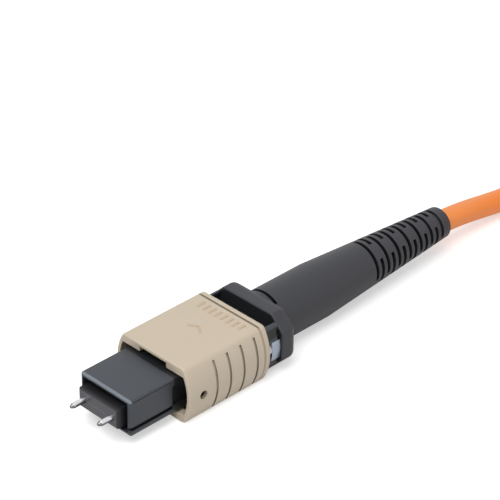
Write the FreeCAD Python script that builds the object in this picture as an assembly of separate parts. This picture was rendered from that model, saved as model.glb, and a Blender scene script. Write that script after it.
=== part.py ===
"""Male multi-fibre push-on connector on a round cable.

The connector lies along X. X = 0 is the polished end face of the ferrule, the plug's nose points
to -X and the cable leaves to +X. Z is up, and the key of the plug is on the underside.
All sizes are in millimetres.
"""
import FreeCAD
import Part
import math
import os

V = FreeCAD.Vector
AXIS = V(1, 0, 0)
REACH = 1.0                     # how far a cutting tool runs past the face that it opens

# --- ferrule and guide pins ---------------------------------------------------------------------
pin_pitch = 4.6                 # between the two guide pins
pin_d = 0.7
pin_reach = 2.0                 # how far a pin stands out of the ferrule
pin_tip_l = 0.45                # tapered lead-in of a pin
pin_tip_d = 0.3
pin_neck_d = 0.5                # waist that the pin clamp grips
pin_neck_l = 0.6
ferrule_w = 6.4
ferrule_h = 2.5
ferrule_l = 8.0
shoulder_w = 7.0
shoulder_h = 3.0
shoulder_l = 2.0
ferrule_edge = 0.2              # chamfer round the end face
window_l = 2.0                  # glue window in the ferrule's top
window_w = 3.0
window_x = 2.4
adhesive_dip = 0.1              # how far the glue ends below the ferrule's top
clamp_l = 2.2
snug = 0.01                     # radial clearance of a pin in its hole
fit = 0.05                      # clearance of parts that slide together
cavity_gap = 0.03               # beside the ferrule's shoulder
contact = 0.02                  # gap where two parts rest on each other

# --- fibres -------------------------------------------------------------------------------------
ribbon_w = 3.05
ribbon_t = 0.3
ribbon_edge_r = 0.12
ribbon_front_x = 2.2
ribbon_overrun = 1.2            # how far it reaches into the rear body
sleeve_wall_y = 0.2             # wall of the ferrule boot beside the ribbon
sleeve_wall_z = 0.6             # and above it
sleeve_front_x = 4.8
sleeve_tail = 1.4               # how far it runs out of the pin clamp
bundle_d = 1.4
bundle_taper_l = 5.0
bundle_fan_end = 0.84           # width of the fan where it ends in the round bundle
bundle_lap = 0.8                # how far the two run in one another
bundle_gap = 0.1                # left behind the ribbon when the ferrule is pushed in

# --- inner housing ------------------------------------------------------------------------------
nose_w = 8.3
nose_h = 4.8
nose_setback = 1.15             # the ferrule's end face stands out this far
nose_edge_r = 0.25
lip_l = 0.55                    # bevelled lip round the nose's mouth
lip_chamfer = 0.23
rail_groove_z = -1.45           # long groove low on each side of the nose
rail_groove_h = 0.42
rail_groove_depth = 0.35
seam_z = 2.0                    # fine line high on each side of the nose
seam_w = 0.12
seam_depth = 0.08
mouth_wall = 0.45               # round the recess in the nose's mouth
mouth_recess_l = 1.5
catch_x = 7.6                   # recess for the latch of the mating part
catch_l = 2.8
catch_h = 2.6
catch_depth = 0.3
key_w = 2.9
key_h = 0.7
key_x = 2.2
key_l = 8.4
key_ramp = 0.42
body_x = 11.5                   # where the nose meets the wider body
body_rear_x = 19.5
stop_l = 0.6                    # wall at the front of the spring channel
spring_cavity_h = 4.2
spring_zone_lead = 0.2          # how far before the clamp's rear the wide cavity begins
latch_window_l = 1.4
latch_window_w = 3.2
latch_window_setback = 0.5      # from its rear edge to the housing's

# --- coupler ------------------------------------------------------------------------------------
coupler_x = 8.4
coupler_l = 12.8
coupler_w = 12.3
coupler_h = 7.5
side_r = 6.7                    # radius of its bowed sides
corner_r = 0.7
inner_corner_r = 0.35
coupler_side_wall = 0.47
coupler_top_wall = 0.7
mouth_l = 1.0
mouth_side_wall = 0.55
mouth_top_wall = 1.15
coupler_edge_r = 0.25
keyway_w = 4.4
keyway_l = 4.4
keyway_wall = 0.5               # left above the keyway
grip_count = 4
grip_first_x = 12.7
grip_pitch = 2.13
grip_groove_w = 0.34
grip_groove_depth = 0.2
grip_corner_r = 1.15            # of the grooves' floor, where they run out over the lower corners
grip_top_z = 3.15               # where they end under the top
side_hole_d = 1.1
side_hole_x = 10.55
side_hole_z = -0.2
rim_l = 0.75                    # band across the rear edge
rim_line_w = 0.3
rim_line_depth = 0.2
travel = 2.0                    # how far the coupler pulls back
lug_l = 0.75

# --- springs ------------------------------------------------------------------------------------
coupler_spring_d = 1.8
coupler_spring_wire = 0.26
coupler_spring_turns = 10
spring_channel_gap = 0.03       # between a coupler spring and its channel
ferrule_spring_d = 4.0
ferrule_spring_wire = 0.4
ferrule_spring_turns = 5
ferrule_spring_l = 6.6
ferrule_travel = 0.6
WIRE_SIDES = 6

# --- spring push (rear body) --------------------------------------------------------------------
neck_h = 5.9
neck_l = 3.38                   # from the housing's rear to the end of the spring channels
neck_floor_z = 1.95             # of the pockets above and below, between the neck's side rails
neck_rail_w = 1.1
neck_front_wall = 0.5
seat_l = 0.4                    # wall that the coupler springs press on
seat_half_w = 5.1
tongue_bore_w = 3.7
tongue_bore_h = 2.9
latch_slot_w = 0.35
latch_h = 0.5
latch_ramp = 0.4
stem_d = 3.6
stem_bore_d = 2.4
funnel_l = 3.0                  # from the wide hall of the tongue down to the bore
funnel_end_w = 1.68
stem_l = 7.57
stem_groove_count = 4
stem_groove_depth = 0.12
stem_groove_l = 0.5

# --- crimp --------------------------------------------------------------------------------------
yarn_t = 0.15
crimp_gap = 0.7                 # from the boot's collar plate to the crimp ring
crimp_wall = 0.45
crimp_front_l = 5.6
crimp_step_l = 0.8
crimp_rear_l = 2.8

# --- boot ---------------------------------------------------------------------------------------
collar_w = 11.8
collar_h = 7.5
collar_chamfer = 1.9
collar_l = 2.62
collar_rear_r = 1.3
boot_d = 7.1
boot_straight_l = 8.6
boot_end_x = 56.9
boot_end_d = 4.12
relief_l = 0.45                 # crescent reliefs between the collar and the barrel
relief_depth = 0.75
relief_half_angle = 35.0
slot_first_x = 42.6
slot_pitch = 2.1
slot_pairs = 7                  # slots on the first diagonal
slot_w = 0.5
slot_skin = 0.2                 # left between a slot's floor and the bore
slot_angle = 133.0              # middle of the first slots, counted from +Y towards +Z
slot_stagger = 82.0
slot_half_angle = 64.0
stagger_half_angle = 68.0
bore_clearance = 0.14
mouth_flare = 0.14

# --- cable --------------------------------------------------------------------------------------
cable_d = 2.9
cable_start_x = 32.0
floor_z = -coupler_h / 2
lay_z = floor_z + cable_d / 2
cable_route = [
    V(cable_start_x, 0.0, 0.0),
    V(44.9, 0.0, -0.05),
    V(58.2, 0.0, 0.0),
    V(67.4, 0.0, -1.55),
    V(72.6, 1.78, lay_z),
]
hank_x = 84.0                   # start of the hank's straight runs
hank_y = -7.0
hank_run = 43.5
fold_r = 8.7                    # middle of the innermost turn at the ends of the hank
hank_columns = 2
hank_layers = 3
hank_pitch = 2.95               # from turn to turn
hank_edge = 1.0
tie_t = 0.2
tie_corner = 0.12               # how much wider than the turns' bevel the strap's is
tie_w = 6.0

# --- places that follow from the sizes above ----------------------------------------------------
pin_y = pin_pitch / 2
ledge_x = ferrule_l - shoulder_l
clamp_rear_x = ferrule_l + contact + clamp_l
cavity_half_w = shoulder_w / 2 + cavity_gap
cavity_half_h = shoulder_h / 2 + fit
push_front_x = clamp_rear_x + ferrule_spring_l + contact
spring_zone_x = ferrule_l + clamp_l - spring_zone_lead
coupler_rear_x = coupler_x + coupler_l
inner_half_w = coupler_w / 2 - coupler_side_wall
inner_half_h = coupler_h / 2 - coupler_top_wall
body_half_w = inner_half_w - fit
body_half_h = inner_half_h - fit
body_side_r = side_r - coupler_side_wall - fit
spring_y = body_half_w - coupler_spring_d / 2
channel_y = spring_y - coupler_spring_d / 2 - spring_channel_gap
channel_half_h = coupler_spring_d / 2 + spring_channel_gap
channel_front_x = body_x + stop_l
lug_x = channel_front_x + contact
channel_rear_x = body_rear_x + neck_l
seat_rear_x = channel_rear_x + seat_l
collar_x = seat_rear_x + contact
collar_rear_x = collar_x + collar_l
stem_rear_x = collar_x + stem_l
crimp_x = collar_rear_x + crimp_gap
crimp_step_x = crimp_x + crimp_front_l
crimp_rear_x = crimp_step_x + crimp_step_l
crimp_end_x = crimp_rear_x + crimp_rear_l
sleeve_in_r = stem_d / 2 + contact + yarn_t + contact
boot_cone_x = collar_rear_x + boot_straight_l
bore_r = cable_d / 2 + bore_clearance
hank_in_r = fold_r - cable_d / 2
hank_out_r = fold_r + (hank_columns - 1) * hank_pitch + cable_d / 2
hank_h = (hank_layers - 1) * hank_pitch + cable_d
hank_z = floor_z + tie_t


def extrude(points, x0, x1):
    """Prism along X over a closed outline of (y, z) points."""
    outline = [V(x0, y, z) for y, z in points]
    face = Part.Face(Part.makePolygon(outline + outline[:1]))
    return face.extrude(V(x1 - x0, 0, 0))


def block(x0, x1, half_w, half_h):
    """Box centred on the axis, between two stations."""
    return Part.makeBox(x1 - x0, 2 * half_w, 2 * half_h, V(x0, -half_w, -half_h))


def slab(x0, x1, y0, y1, z0, z1):
    """Box between two corners."""
    return Part.makeBox(x1 - x0, y1 - y0, z1 - z0, V(x0, y0, z0))


def rod(x0, x1, r, y=0.0, z=0.0):
    """Round bar along X."""
    return Part.makeCylinder(r, x1 - x0, V(x0, y, z), AXIS)


def turned(profile, y=0.0, z=0.0):
    """Solid of revolution about a line along X, from a closed outline of (x, r) points."""
    outline = [V(x, y, z + r) for x, r in profile]
    face = Part.Face(Part.makePolygon(outline + outline[:1]))
    return face.revolve(V(0, y, z), AXIS, 360)


def long_edges(solid):
    """Straight edges that run along X."""
    lines = [e for e in solid.Edges if isinstance(e.Curve, Part.Line)]
    return [e for e in lines if abs(e.tangentAt(e.FirstParameter).x) > 0.999]


def edges_at(solid, x):
    """Edges that lie in the plane of one station."""
    return [e for e in solid.Edges if abs(e.BoundBox.XMin - x) < 1e-4 and abs(e.BoundBox.XMax - x) < 1e-4]


def bowed(x0, x1, half_w, half_h, r, edge_r=0.0):
    """Bar with flat top and bottom and bowed sides, the section of the coupler and its body."""
    corner = half_w - r + math.sqrt(r * r - half_h * half_h)
    top = Part.LineSegment(V(x0, -corner, half_h), V(x0, corner, half_h))
    right = Part.Arc(V(x0, corner, half_h), V(x0, half_w, 0), V(x0, corner, -half_h))
    bottom = Part.LineSegment(V(x0, corner, -half_h), V(x0, -corner, -half_h))
    left = Part.Arc(V(x0, -corner, -half_h), V(x0, -half_w, 0), V(x0, -corner, half_h))
    wire = Part.Wire([side.toShape() for side in (top, right, bottom, left)])
    solid = Part.Face(wire).extrude(V(x1 - x0, 0, 0))
    return solid.makeFillet(edge_r, long_edges(solid)) if edge_r else solid


def both_sides(solid):
    """A piece on the +Y side and its mirror image."""
    return [solid, solid.mirror(V(0, 0, 0), V(0, 1, 0))]


def wire_corner(mean_r, wire_r, index):
    """Corner of a spring wire's section, which starts beside the spring's own axis, Z."""
    angle = 2 * math.pi * (index + 0.5) / WIRE_SIDES
    return V(mean_r + wire_r * math.cos(angle), 0, wire_r * math.sin(angle))


def coil_spring(x0, x1, outer_d, wire_d, turns, y):
    """Compression spring along X that fills the length between two seats, of plain six-sided wire."""
    mean_r = (outer_d - wire_d) / 2
    length = x1 - x0 - wire_d
    helix = Part.makeHelix(length / turns, length, mean_r)
    section = Part.makePolygon([wire_corner(mean_r, wire_d / 2, index) for index in range(WIRE_SIDES + 1)])
    spring = Part.Wire(helix.Edges).makePipeShell([section], True, True)
    spring.rotate(V(0, 0, 0), V(0, 1, 0), 90)
    spring.translate(V(x0 + wire_d / 2, y, 0))
    return spring


# --- ferrule group ------------------------------------------------------------------------------
def mt_ferrule():
    """Moulded rectangular ferrule with its shoulder, pin holes, fibre cavity and glue window."""
    front = block(0, ferrule_l, ferrule_w / 2, ferrule_h / 2)
    front = front.makeChamfer(ferrule_edge, edges_at(front, 0))
    shoulder = block(ledge_x, ferrule_l, shoulder_w / 2, shoulder_h / 2)
    body = front.fuse(shoulder).removeSplitter()
    cavity = block(ribbon_front_x, ferrule_l + REACH, sleeve_half_w() + fit, sleeve_half_h() + fit)
    window = slab(window_x, window_x + window_l, -window_w / 2, window_w / 2, 0, ferrule_h)
    holes = [rod(-REACH, ferrule_l + REACH, pin_d / 2 + snug, side * pin_y) for side in (-1, 1)]
    return body.cut([cavity, window] + holes)


def guide_pin(side):
    """Ground steel pin with a tapered tip and a waist for the clamp."""
    r = pin_d / 2
    tip_x = -pin_reach
    rear_x = clamp_rear_x - contact
    waist_x = ferrule_l + (clamp_l - pin_neck_l) / 2
    outline = [(tip_x, 0), (tip_x, pin_tip_d / 2), (tip_x + pin_tip_l, r), (waist_x, r),
               (waist_x, pin_neck_d / 2), (waist_x + pin_neck_l, pin_neck_d / 2),
               (waist_x + pin_neck_l, r), (rear_x, r), (rear_x, 0)]
    return turned(outline, side * pin_y)


def pin_clamp():
    """Block behind the ferrule that holds the pins by their waists."""
    x0 = ferrule_l + contact
    body = block(x0, clamp_rear_x, shoulder_w / 2 - fit, shoulder_h / 2 - fit)
    body = body.makeChamfer(ferrule_edge, long_edges(body))
    window = block(x0 - REACH, clamp_rear_x + REACH, sleeve_half_w() + fit, sleeve_half_h() + fit)
    waist_x = ferrule_l + (clamp_l - pin_neck_l) / 2 + contact
    holes = []
    for side in (-1, 1):
        y = side * pin_y
        bore = rod(x0 - REACH, clamp_rear_x + REACH, pin_d / 2 + snug, y)
        grip = rod(waist_x, waist_x + pin_neck_l - 2 * contact, pin_d, y)
        neck = rod(x0 - REACH, clamp_rear_x + REACH, pin_neck_d / 2 + snug, y)
        holes.append(bore.cut(grip).fuse(neck))
    return body.cut([window] + holes)


def sleeve_half_w():
    return ribbon_w / 2 + contact + sleeve_wall_y


def sleeve_half_h():
    return ribbon_t / 2 + contact + sleeve_wall_z


def ferrule_boot():
    """Small rubber sleeve that guides the ribbon into the ferrule."""
    rear_x = clamp_rear_x + sleeve_tail
    body = block(sleeve_front_x, rear_x, sleeve_half_w(), sleeve_half_h())
    tail = block(clamp_rear_x + contact, rear_x, sleeve_half_w(), sleeve_half_h())
    round_tail = rod(clamp_rear_x, rear_x, ferrule_spring_d / 2 - ferrule_spring_wire - fit)
    body = body.cut(tail).fuse(tail.common(round_tail)).removeSplitter()
    slot = block(sleeve_front_x - REACH, rear_x + REACH, ribbon_w / 2 + contact, ribbon_t / 2 + contact)
    return body.cut(slot)


def ribbon_rear_x():
    return push_front_x + ribbon_overrun


def fibre_ribbon():
    """Flat ribbon of fibres, which ends free so that the ferrule can move back."""
    ribbon = block(ribbon_front_x + contact, ribbon_rear_x(), ribbon_w / 2, ribbon_t / 2)
    return ribbon.makeFillet(ribbon_edge_r, long_edges(ribbon))


def window_adhesive():
    """Cured glue over the ribbon, in the ferrule's window."""
    x0 = window_x + contact
    half_w = window_w / 2 - contact
    return slab(x0, x0 + window_l - 2 * contact, -half_w, half_w, ribbon_t / 2 + contact,
                ferrule_h / 2 - adhesive_dip)


# --- inner housing ------------------------------------------------------------------------------
def nose():
    """Front block of the housing with its rounded edges and long side grooves."""
    body = block(nose_setback, body_x + REACH, nose_w / 2, nose_h / 2)
    body = body.makeFillet(nose_edge_r, long_edges(body))
    body = body.makeChamfer(lip_chamfer, edges_at(body, nose_setback))
    y0 = nose_w / 2 - rail_groove_depth
    z0 = rail_groove_z - rail_groove_h / 2
    groove = slab(nose_setback - REACH, catch_x, y0, nose_w, z0, z0 + rail_groove_h)
    seam = slab(nose_setback + lip_l, catch_x, nose_w / 2 - seam_depth, nose_w, seam_z, seam_z + seam_w)
    catch = slab(catch_x, catch_x + catch_l, nose_w / 2 - catch_depth, nose_w, -catch_h / 2, catch_h / 2)
    return body.cut(both_sides(groove) + both_sides(seam) + both_sides(catch))


def key():
    """Polarity key under the nose."""
    z0 = -nose_h / 2 - key_h
    bar = slab(key_x, key_x + key_l, -key_w / 2, key_w / 2, z0, -nose_h / 2 + key_h)
    front = [e for e in edges_at(bar, key_x) if e.BoundBox.ZMax < z0 + contact]
    return bar.makeChamfer(key_ramp, front)


def spring_channels(x0, x1):
    """Open channels for the coupler springs, one on each side."""
    channel = slab(x0, x1, channel_y, coupler_w, -channel_half_h, channel_half_h)
    return both_sides(channel)


def inner_housing():
    """Plug body that carries the ferrule, with the adapter's catches and the spring channels."""
    body = bowed(body_x, body_rear_x, body_half_w, body_half_h, body_side_r, inner_corner_r)
    body = nose().fuse([key(), body]).removeSplitter()
    mouth = block(nose_setback - REACH, ledge_x + REACH, ferrule_w / 2 + fit, ferrule_h / 2 + fit)
    recess = block(nose_setback - REACH, nose_setback + mouth_recess_l, nose_w / 2 - mouth_wall,
                   nose_h / 2 - mouth_wall)
    cavity = block(ledge_x - contact, body_rear_x + REACH, cavity_half_w, cavity_half_h)
    spring_room = block(spring_zone_x, body_rear_x + REACH, cavity_half_w, spring_cavity_h / 2)
    x0 = latch_window_x()
    window = block(x0, x0 + latch_window_l, latch_window_w / 2, coupler_h)
    channels = spring_channels(channel_front_x, body_rear_x + REACH)
    return body.cut([mouth, recess, cavity, spring_room, window] + channels)


def latch_window_x():
    """Front edge of the windows that the rear body's latches snap into."""
    return body_rear_x - latch_window_setback - latch_window_l


# --- coupler ------------------------------------------------------------------------------------
def grip_grooves():
    """Bowed grooves across both sides of the coupler, which run out over its lower corners."""
    core = bowed(coupler_x, coupler_rear_x, coupler_w / 2 - grip_groove_depth, coupler_h / 2 + contact,
                 side_r - grip_groove_depth, grip_corner_r)
    grooves = []
    for index in range(grip_count):
        x = grip_first_x + index * grip_pitch - grip_groove_w / 2
        band = slab(x, x + grip_groove_w, -coupler_w, coupler_w, -coupler_h, grip_top_z)
        grooves.append(band.cut(core))
    return grooves


def coupler_shell():
    """Outer shell of the coupler with its softened edges."""
    shell = bowed(coupler_x, coupler_rear_x, coupler_w / 2, coupler_h / 2, side_r, corner_r)
    rims = edges_at(shell, coupler_x) + edges_at(shell, coupler_rear_x)
    return shell.makeFillet(coupler_edge_r, rims)


def coupler():
    """Sliding grip sleeve that locks and frees the latch of the mating part."""
    shell = coupler_shell()
    mouth_half_w = coupler_w / 2 - mouth_side_wall
    mouth_half_h = coupler_h / 2 - mouth_top_wall
    mouth = bowed(coupler_x - REACH, coupler_x + mouth_l + REACH, mouth_half_w, mouth_half_h,
                  side_r - mouth_side_wall)
    bore = bowed(coupler_x + mouth_l, coupler_rear_x + REACH, inner_half_w, inner_half_h,
                 side_r - coupler_side_wall, inner_corner_r)
    keyway = block(coupler_x - REACH, coupler_x + keyway_l, keyway_w / 2, coupler_h / 2 - keyway_wall)
    hole_start = V(side_hole_x, -coupler_w, side_hole_z)
    hole = Part.makeCylinder(side_hole_d / 2, 2 * coupler_w, hole_start, V(0, 1, 0))
    line_x = coupler_rear_x - rim_l - rim_line_w
    line_z = coupler_h / 2 - rim_line_depth
    line = slab(line_x, line_x + rim_line_w, -coupler_w / 2 + corner_r, coupler_w / 2 - corner_r,
                line_z, coupler_h)
    low_line = line.mirror(V(0, 0, 0), V(0, 0, 1))
    shell = shell.cut([mouth, bore, keyway, hole, line, low_line] + grip_grooves())
    lug_half_h = channel_half_h - fit
    lug = slab(lug_x, lug_x + lug_l, channel_y + fit, inner_half_w + coupler_side_wall / 2,
               -lug_half_h, lug_half_h)
    return shell.fuse(both_sides(lug)).removeSplitter()


def coupler_spring(side):
    """Return spring of the coupler in one of the housing's side channels."""
    x0 = lug_x + lug_l + contact
    return coil_spring(x0, channel_rear_x - contact, coupler_spring_d - 2 * snug, coupler_spring_wire,
                       coupler_spring_turns, side * spring_y)


def ferrule_spring():
    """Spring between the pin clamp and the spring push."""
    return coil_spring(clamp_rear_x + contact, push_front_x - contact, ferrule_spring_d,
                       ferrule_spring_wire, ferrule_spring_turns, 0)


# --- spring push --------------------------------------------------------------------------------
def tongue():
    """Part of the spring push that is latched inside the housing."""
    half_h = spring_cavity_h / 2 - fit
    body = block(push_front_x, body_rear_x + REACH, cavity_half_w - fit, half_h)
    x0 = latch_window_x() + fit
    bump = block(x0, x0 + latch_window_l - 2 * fit, latch_window_w / 2 - fit - latch_slot_w,
                 half_h + latch_h)
    front = [e for e in edges_at(bump, x0) if abs(e.tangentAt(e.FirstParameter).y) > 0.9]
    body = body.fuse(bump.makeChamfer(latch_ramp, front))
    slot_y = latch_window_w / 2 - fit - latch_slot_w
    slot = slab(push_front_x - REACH, body_rear_x, slot_y, slot_y + latch_slot_w, -coupler_h, coupler_h)
    return body.cut(both_sides(slot))


def stem():
    """Tube that the yarn is crimped on, with grip grooves."""
    r = stem_d / 2
    tube = rod(seat_rear_x, stem_rear_x, r)
    pitch = 2 * stem_groove_l
    first = stem_rear_x - stem_groove_count * pitch
    for index in range(stem_groove_count):
        x = first + index * pitch
        ring = rod(x, x + stem_groove_l, r + REACH).cut(rod(x, x + stem_groove_l, r - stem_groove_depth))
        tube = tube.cut(ring)
    return tube


def neck():
    """Pocketed block between the housing and the boot, with the seats of the coupler springs."""
    body = bowed(body_rear_x + contact, seat_rear_x, body_half_w, neck_h / 2, body_side_r, inner_corner_r)
    pocket_x = body_rear_x + contact + neck_front_wall
    half_w = body_half_w - neck_rail_w
    pocket = slab(pocket_x, seat_rear_x + REACH, -half_w, half_w, neck_floor_z, neck_h)
    low_pocket = pocket.mirror(V(0, 0, 0), V(0, 0, 1))
    side_notch = slab(channel_rear_x, seat_rear_x + REACH, seat_half_w, coupler_w, -neck_h, neck_h)
    return body.cut([pocket, low_pocket] + both_sides(side_notch))


def spring_push():
    """Rear body: latched tongue, neck with the spring seats, and crimp stem."""
    body = neck().fuse([tongue(), stem()]).removeSplitter()
    hall = block(push_front_x - REACH, body_rear_x + REACH, tongue_bore_w / 2, tongue_bore_h / 2)
    bore = rod(body_rear_x, stem_rear_x + REACH, stem_bore_d / 2)
    funnel_x = body_rear_x + REACH
    funnel = Part.makeLoft([section_rect(funnel_x, tongue_bore_w, tongue_bore_h),
                            section_rect(funnel_x + funnel_l, funnel_end_w, funnel_end_w)], True)
    return body.cut([hall, bore, funnel] + spring_channels(push_front_x - REACH, channel_rear_x))


def section_rect(x, w, h):
    """Closed rectangular wire across the axis."""
    corners = [V(x, -w / 2, -h / 2), V(x, w / 2, -h / 2), V(x, w / 2, h / 2), V(x, -w / 2, h / 2)]
    return Part.makePolygon(corners + corners[:1])


def fibre_bundle():
    """Loose fibres that gather from the ribbon's width into the round cable."""
    x0 = ribbon_rear_x() + ferrule_travel + bundle_gap
    x1 = x0 + bundle_taper_l
    fan = Part.makeLoft([section_rect(x0, ribbon_w, ribbon_t),
                         section_rect(x1, bundle_fan_end, bundle_fan_end)], True)
    core = rod(x1 - bundle_lap, cable_start_x - contact, bundle_d / 2)
    return fan.fuse(core).removeSplitter()


# --- crimp --------------------------------------------------------------------------------------
def aramid_yarn():
    """Yarn of the cable, laid over the stem under the crimp ring."""
    r0 = stem_d / 2 + contact
    x0 = crimp_x + fit
    x1 = crimp_step_x - fit
    return rod(x0, x1, r0 + yarn_t).cut(rod(x0 - REACH, x1 + REACH, r0))


def crimp_ring():
    """Stepped metal sleeve, wide over the stem and narrow over the jacket."""
    wide = sleeve_in_r
    narrow = cable_d / 2 + contact
    outline = [(crimp_x, wide), (crimp_x, wide + crimp_wall), (crimp_step_x, wide + crimp_wall),
               (crimp_rear_x, narrow + crimp_wall), (crimp_end_x, narrow + crimp_wall),
               (crimp_end_x, narrow), (crimp_rear_x, narrow), (crimp_step_x, wide)]
    return turned(outline)


# --- boot ---------------------------------------------------------------------------------------
def collar_outline():
    """Octagon of the collar."""
    y = collar_w / 2
    z = collar_h / 2
    c = collar_chamfer
    quarter = [(y - c, z), (y, z - c)]
    lower = [(a, -b) for a, b in reversed(quarter)]
    right = quarter + lower
    return right + [(-a, -b) for a, b in right]


def collar():
    """Octagonal plate with a well rounded rear edge."""
    plate = extrude(collar_outline(), collar_x, collar_rear_x)
    return plate.makeFillet(collar_rear_r, edges_at(plate, collar_rear_x))


def ring_sector(x0, x1, r0, r1, middle, half_angle):
    """Part of a ring, between two radii and round a middle angle in degrees from +Y to +Z."""
    start = math.radians(middle - half_angle)
    out = V(0, math.cos(start), math.sin(start))
    corners = [V(x0, 0, 0) + out * r0, V(x1, 0, 0) + out * r0, V(x1, 0, 0) + out * r1, V(x0, 0, 0) + out * r1]
    face = Part.Face(Part.makePolygon(corners + corners[:1]))
    return face.revolve(V(0, 0, 0), AXIS, 2 * half_angle)


def boot_slots():
    """Staggered slots that let the boot bend, in opposite pairs."""
    floor_r = bore_r + slot_skin
    slots = []
    for index in range(2 * slot_pairs - 1):
        x = slot_first_x + index * slot_pitch / 2 - slot_w / 2
        staggered = index % 2 == 1
        middle = slot_angle + (slot_stagger if staggered else 0)
        half_angle = stagger_half_angle if staggered else slot_half_angle
        for turn in (0, 180):
            slots.append(ring_sector(x, x + slot_w, floor_r, boot_d, middle + turn, half_angle))
    return slots


def boot():
    """Bend relief: collar, straight barrel over the crimp and slotted cone over the cable."""
    x0 = collar_rear_x - REACH
    barrel = turned([(x0, 0), (x0, boot_d / 2), (boot_cone_x, boot_d / 2),
                     (boot_end_x - mouth_flare, boot_end_d / 2), (boot_end_x, boot_end_d / 2 - mouth_flare),
                     (boot_end_x, 0)])
    body = collar().fuse(barrel).removeSplitter()
    stem_r = stem_d / 2 + fit
    crimp_r = sleeve_in_r + crimp_wall + fit
    narrow_r = cable_d / 2 + crimp_wall + 2 * fit
    bore = turned([(collar_x - REACH, 0), (collar_x - REACH, stem_r), (crimp_x - fit, stem_r),
                   (crimp_x - fit, crimp_r), (crimp_step_x, crimp_r), (crimp_rear_x, narrow_r),
                   (crimp_end_x + fit, narrow_r), (crimp_end_x + fit, bore_r),
                   (slot_first_x + slot_pairs * slot_pitch, bore_r),
                   (boot_end_x, bore_r + mouth_flare), (boot_end_x + REACH, bore_r + mouth_flare),
                   (boot_end_x + REACH, 0)])
    reliefs = [ring_sector(collar_rear_x, collar_rear_x + relief_l, boot_d / 2 - relief_depth, boot_d,
                           middle, relief_half_angle) for middle in (0, 90, 180, 270)]
    return body.cut([bore] + reliefs + boot_slots())


# --- cable --------------------------------------------------------------------------------------
def cable_path(points):
    """Straight runs joined by arcs as large as the runs beside them allow."""
    edges = []
    start = points[0]
    radii = []
    for before, corner, after in zip(points, points[1:], points[2:]):
        run_in = corner - before
        run_out = after - corner
        inward = run_in / run_in.Length
        outward = run_out / run_out.Length
        half_turn = inward.getAngle(outward) / 2
        tangent = 0.45 * min(run_in.Length, run_out.Length)
        r = tangent / math.tan(half_turn)
        inner = (outward - inward).normalize()
        middle = corner + inner * (r / math.cos(half_turn) - r)
        arc_start = corner - inward * tangent
        arc_end = corner + outward * tangent
        edges.append(Part.LineSegment(start, arc_start).toShape())
        edges.append(Part.Arc(arc_start, middle, arc_end).toShape())
        start = arc_end
        radii.append(r)
    edges.append(Part.LineSegment(start, points[-1]).toShape())
    print("cable bend radii", [round(r, 1) for r in radii], "length", round(sum(e.Length for e in edges), 2))
    return Part.Wire(edges)


def cable_jacket():
    """The cable from the crimp, through the boot and down to the hank."""
    path = cable_path(cable_route)
    section = Part.Wire(Part.makeCircle(cable_d / 2, cable_route[0], cable_route[1] - cable_route[0]))
    tube = path.makePipeShell([section], True, False)
    expected = math.pi * cable_d ** 2 / 4 * path.Length
    print("cable volume", round(tube.Volume, 2), "expected", round(expected, 2))
    return tube


def stadium(r, z0, z1):
    """Upright block over the outline of the hank at one radius of its folds."""
    rear_x = hank_x + hank_run
    left = Part.LineSegment(V(hank_x, hank_y + r, z0), V(rear_x, hank_y + r, z0))
    rear = Part.Arc(V(rear_x, hank_y + r, z0), V(rear_x + r, hank_y, z0), V(rear_x, hank_y - r, z0))
    right = Part.LineSegment(V(rear_x, hank_y - r, z0), V(hank_x, hank_y - r, z0))
    front = Part.Arc(V(hank_x, hank_y - r, z0), V(hank_x - r, hank_y, z0), V(hank_x, hank_y + r, z0))
    wire = Part.Wire([side.toShape() for side in (left, rear, right, front)])
    return Part.Face(wire).extrude(V(0, 0, z1 - z0))


def cable_hank():
    """Outer shape of the folded rest of the cable."""
    z1 = hank_z + hank_h
    ring = stadium(hank_out_r, hank_z, z1).cut(stadium(hank_in_r, hank_z, z1))
    return ring.makeChamfer(hank_edge, [e for e in ring.Edges if e.BoundBox.ZLength < contact])


def hank_tie(side):
    """Strap round the turns on one side of the hank, in the middle of its runs."""
    half_w = (hank_out_r - hank_in_r) / 2
    middle = V(hank_x + hank_run / 2, hank_y + side * (hank_in_r + half_w), hank_z + hank_h / 2)
    band = strap_block(half_w + tie_t, hank_h / 2 + tie_t, tie_w, hank_edge + tie_corner)
    band = band.cut(strap_block(half_w + contact, hank_h / 2 + contact, tie_w + REACH, hank_edge))
    band.translate(middle)
    return band


def strap_block(half_w, half_h, width, edge):
    """Bar along X with bevelled long edges, centred on its own middle."""
    bar = block(-width / 2, width / 2, half_w, half_h)
    return bar.makeChamfer(edge, long_edges(bar))


NODES = {
    "mt_ferrule": mt_ferrule,
    "guide_pin_left": lambda: guide_pin(1),
    "guide_pin_right": lambda: guide_pin(-1),
    "pin_clamp": pin_clamp,
    "ferrule_boot": ferrule_boot,
    "fibre_ribbon": fibre_ribbon,
    "window_adhesive": window_adhesive,
    "ferrule_spring": ferrule_spring,
    "inner_housing": inner_housing,
    "coupler": coupler,
    "coupler_spring_left": lambda: coupler_spring(1),
    "coupler_spring_right": lambda: coupler_spring(-1),
    "spring_push": spring_push,
    "fibre_bundle": fibre_bundle,
    "aramid_yarn": aramid_yarn,
    "crimp_ring": crimp_ring,
    "boot": boot,
    "cable_jacket": cable_jacket,
    "cable_hank": cable_hank,
    "hank_tie_left": lambda: hank_tie(1),
    "hank_tie_right": lambda: hank_tie(-1),
}


def main():
    os.makedirs("parts", exist_ok=True)
    for name, make in NODES.items():
        shape = make()
        print(name, "solids", len(shape.Solids), "valid", shape.isValid(), "volume", round(shape.Volume, 3))
        shape.exportStep("parts/" + name + ".step")


if __name__ == "__main__":
    main()
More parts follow.
